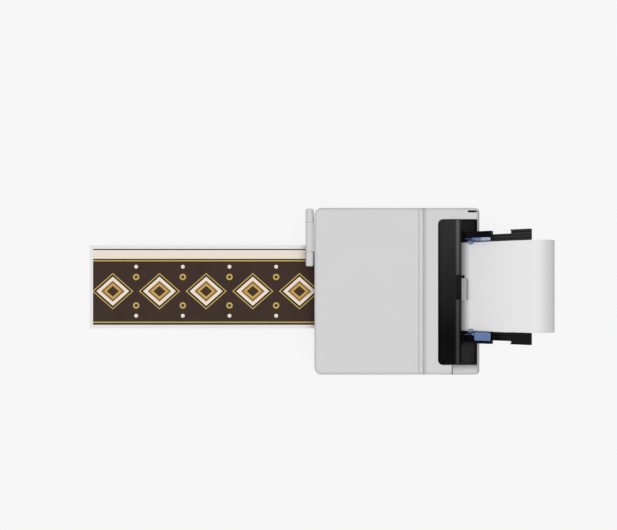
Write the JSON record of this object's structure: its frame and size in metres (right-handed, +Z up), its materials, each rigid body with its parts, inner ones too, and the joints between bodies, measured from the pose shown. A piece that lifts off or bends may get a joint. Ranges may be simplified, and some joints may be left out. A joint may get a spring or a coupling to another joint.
{
  "type": "desktop banner printer",
  "caption": "Light grey desktop colour printer with a hinged top cover, tilting control panel, front cassette and a rear feeder whose sloping tray feeds a long banner sheet out of the front.",
  "frame": {"origin": "on the table under the middle of the case", "axes": "+X to the right of a viewer facing the front, +Y to the rear, +Z up"},
  "size_m": [0.399, 1.1204, 0.3157],
  "materials": {
    "case_plastic": "fine matte texture",
    "black_plastic": "matte",
    "tab_plastic": "satin",
    "lever_plastic": "satin",
    "button_plastic": "satin",
    "window_plastic": "gloss",
    "steel": "brushed",
    "plated_steel": "zinc plated",
    "rubber": "matte",
    "gear_plastic": "satin",
    "board": "solder mask",
    "ink_plastic": "satin",
    "paper": "matte coated"
  },
  "bodies": {
    "root": {"banner_sheet": "paper", "base_pan": "black_plastic", "bypass_tray": "black_plastic", "carriage_belt": "rubber", "carriage_motor": "plated_steel", "carriage_rail": "plated_steel", "carriage_rod": "steel", "cartridge_bay": "black_plastic", "feed_motor": "plated_steel", "feeder_well": "black_plastic", "front_cover": "case_plastic", "hinge_pins": "steel", "ink_cartridges": "ink_plastic", "interface_ports": "black_plastic", "left_frame": "plated_steel", "left_side_cover": "case_plastic", "main_board": "board", "output_tray": "black_plastic", "paper_chute": "black_plastic", "platen": "black_plastic", "power_inlet": "black_plastic", "power_supply": "plated_steel", "rear_corner_cover": "case_plastic", "rear_deck": "case_plastic", "rear_panel": "case_plastic", "right_frame": "plated_steel", "right_side_cover": "case_plastic", "rubber_feet": "rubber", "screws": "steel"},
    "lid": {"top_cover": "case_plastic"},
    "guard": {"feeder_guard": "black_plastic", "guard_tab": "tab_plastic"},
    "tray_end": {"tray_extension": "black_plastic"},
    "guide_left": {"left_guide": "black_plastic"},
    "guide_right": {"right_guide": "black_plastic"},
    "guide_gear": {"guide_pinion": "gear_plastic"},
    "lever_left": {"left_lever": "lever_plastic"},
    "lever_right": {"right_lever": "lever_plastic"},
    "panel": {"control_panel": "case_plastic", "display_window": "window_plastic"},
    "button_power": {"power_button": "button_plastic"},
    "button_cancel": {"cancel_button": "button_plastic"},
    "button_up": {"up_button": "button_plastic"},
    "button_down": {"down_button": "button_plastic"},
    "door": {"ink_door": "case_plastic"},
    "cassette": {"cassette_tray": "case_plastic"},
    "output_slide": {"output_extension": "black_plastic"},
    "head_carriage": {"carriage": "black_plastic", "print_head": "steel"},
    "pulley_drive": {"drive_pulley": "gear_plastic"},
    "pulley_idler": {"idler_pulley": "gear_plastic"},
    "feed": {"feed_roller": "rubber", "feed_gear": "gear_plastic"},
    "pinch": {"pinch_rollers": "rubber"},
    "exit": {"exit_roller": "rubber", "exit_gear": "gear_plastic"},
    "stars": {"star_wheels": "steel"},
    "gear_idler": {"idler_gear": "gear_plastic"},
    "gear_motor": {"motor_pinion": "gear_plastic"},
    "pickup": {"pickup_roller": "rubber"}
  },
  "joints": [
    {"name": "lid_hinge", "type": "hinge", "parent": "root", "child": "lid", "pos_m": [0, 0.0478, 0.206], "axis": [-1, 0, 0], "range_deg": [0, 65]},
    {"name": "guard_hinge", "type": "hinge", "parent": "root", "child": "guard", "pos_m": [0, 0.1052, 0.2065], "axis": [1, 0, 0], "range_deg": [0, 60]},
    {"name": "tray_end_slide", "type": "slide", "parent": "root", "child": "tray_end", "axis": [0, 0.8231, 0.5678], "range_m": [-0.04, 0]},
    {"name": "guide_left_slide", "type": "slide", "parent": "root", "child": "guide_left", "axis": [-1, 0, 0], "range_m": [0, 0.003]},
    {"name": "guide_right_slide", "type": "slide", "parent": "root", "child": "guide_right", "axis": [1, 0, 0], "range_m": [0, 0.003]},
    {"name": "guide_gear_spin", "type": "hinge", "parent": "root", "child": "guide_gear", "pos_m": [-0.011, 0.18035, 0.22076], "axis": [0, -0.5678, 0.8231], "range_deg": [-22, 0]},
    {"name": "lever_left_pinch", "type": "hinge", "parent": "guide_left", "child": "lever_left", "pos_m": [-0.1224, 0.17751, 0.23544], "axis": [0, 0.8231, 0.5678], "range_deg": [0, 12], "stiffness_Nm_per_rad": 0.05, "springref_deg": -8.59},
    {"name": "lever_right_pinch", "type": "hinge", "parent": "guide_right", "child": "lever_right", "pos_m": [0.1004, 0.17751, 0.23544], "axis": [0, -0.8231, -0.5678], "range_deg": [0, 12], "stiffness_Nm_per_rad": 0.05, "springref_deg": -8.59},
    {"name": "panel_tilt", "type": "hinge", "parent": "root", "child": "panel", "pos_m": [-0.13025, -0.209, 0.1825], "axis": [-1, 0, 0], "range_deg": [0, 60]},
    {"name": "power_press", "type": "slide", "parent": "panel", "child": "button_power", "axis": [0, 1, 0], "range_m": [0, 0.001], "stiffness_N_per_m": 250, "springref_m": -0.002},
    {"name": "cancel_press", "type": "slide", "parent": "panel", "child": "button_cancel", "axis": [0, 1, 0], "range_m": [0, 0.001], "stiffness_N_per_m": 250, "springref_m": -0.002},
    {"name": "up_press", "type": "slide", "parent": "panel", "child": "button_up", "axis": [0, 1, 0], "range_m": [0, 0.001], "stiffness_N_per_m": 250, "springref_m": -0.002},
    {"name": "down_press", "type": "slide", "parent": "panel", "child": "button_down", "axis": [0, 1, 0], "range_m": [0, 0.001], "stiffness_N_per_m": 250, "springref_m": -0.002},
    {"name": "door_hinge", "type": "hinge", "parent": "root", "child": "door", "pos_m": [0.155, -0.1945, 0.0329], "axis": [1, 0, 0], "range_deg": [0, 90]},
    {"name": "cassette_slide", "type": "slide", "parent": "root", "child": "cassette", "axis": [0, -1, 0], "range_m": [0, 0.25]},
    {"name": "output_slide_in", "type": "slide", "parent": "root", "child": "output_slide", "axis": [0, 1, 0], "range_m": [0, 0.09]},
    {"name": "carriage_travel", "type": "slide", "parent": "root", "child": "head_carriage", "axis": [-1, 0, 0], "range_m": [0, 0.28]},
    {"name": "pulley_drive_spin", "type": "hinge", "parent": "root", "child": "pulley_drive", "pos_m": [0.17, -0.0706, 0.166], "axis": [0, 1, 0], "range_deg": [0, 2560]},
    {"name": "pulley_idler_spin", "type": "hinge", "parent": "root", "child": "pulley_idler", "pos_m": [-0.154, -0.0706, 0.166], "axis": [0, 1, 0], "range_deg": [0, 2560]},
    {"name": "feed_spin", "type": "hinge", "parent": "root", "child": "feed", "pos_m": [0, -0.06, 0.0937], "axis": [1, 0, 0], "continuous": true},
    {"name": "pinch_spin", "type": "hinge", "parent": "root", "child": "pinch", "pos_m": [0, -0.06, 0.1077], "axis": [1, 0, 0], "continuous": true},
    {"name": "exit_spin", "type": "hinge", "parent": "root", "child": "exit", "pos_m": [0, -0.14724, 0.0937], "axis": [1, 0, 0], "continuous": true},
    {"name": "star_spin", "type": "hinge", "parent": "root", "child": "stars", "pos_m": [0, -0.14724, 0.1072], "axis": [1, 0, 0], "continuous": true},
    {"name": "gear_idler_spin", "type": "hinge", "parent": "root", "child": "gear_idler", "pos_m": [-0.1745, -0.10362, 0.0937], "axis": [1, 0, 0], "continuous": true},
    {"name": "gear_motor_spin", "type": "hinge", "parent": "root", "child": "gear_motor", "pos_m": [-0.1745, -0.04569, 0.11849], "axis": [1, 0, 0], "continuous": true},
    {"name": "pickup_spin", "type": "hinge", "parent": "root", "child": "pickup", "pos_m": [0, 0.074, 0.0916], "axis": [1, 0, 0], "continuous": true}
  ],
  "couplings": [
    {"joint": "guide_right_slide", "follows": "guide_left_slide", "ratio": 1},
    {"joint": "guide_gear_spin", "follows": "guide_left_slide", "rad_per_m": -125},
    {"joint": "pulley_drive_spin", "follows": "carriage_travel", "rad_per_m": 158.73},
    {"joint": "pulley_idler_spin", "follows": "carriage_travel", "rad_per_m": 158.73},
    {"joint": "pinch_spin", "follows": "feed_spin", "ratio": -1.6},
    {"joint": "exit_spin", "follows": "feed_spin", "ratio": 1},
    {"joint": "star_spin", "follows": "feed_spin", "ratio": -1.7778},
    {"joint": "gear_idler_spin", "follows": "feed_spin", "ratio": -0.8125},
    {"joint": "gear_motor_spin", "follows": "feed_spin", "ratio": -2.1667}
  ]
}
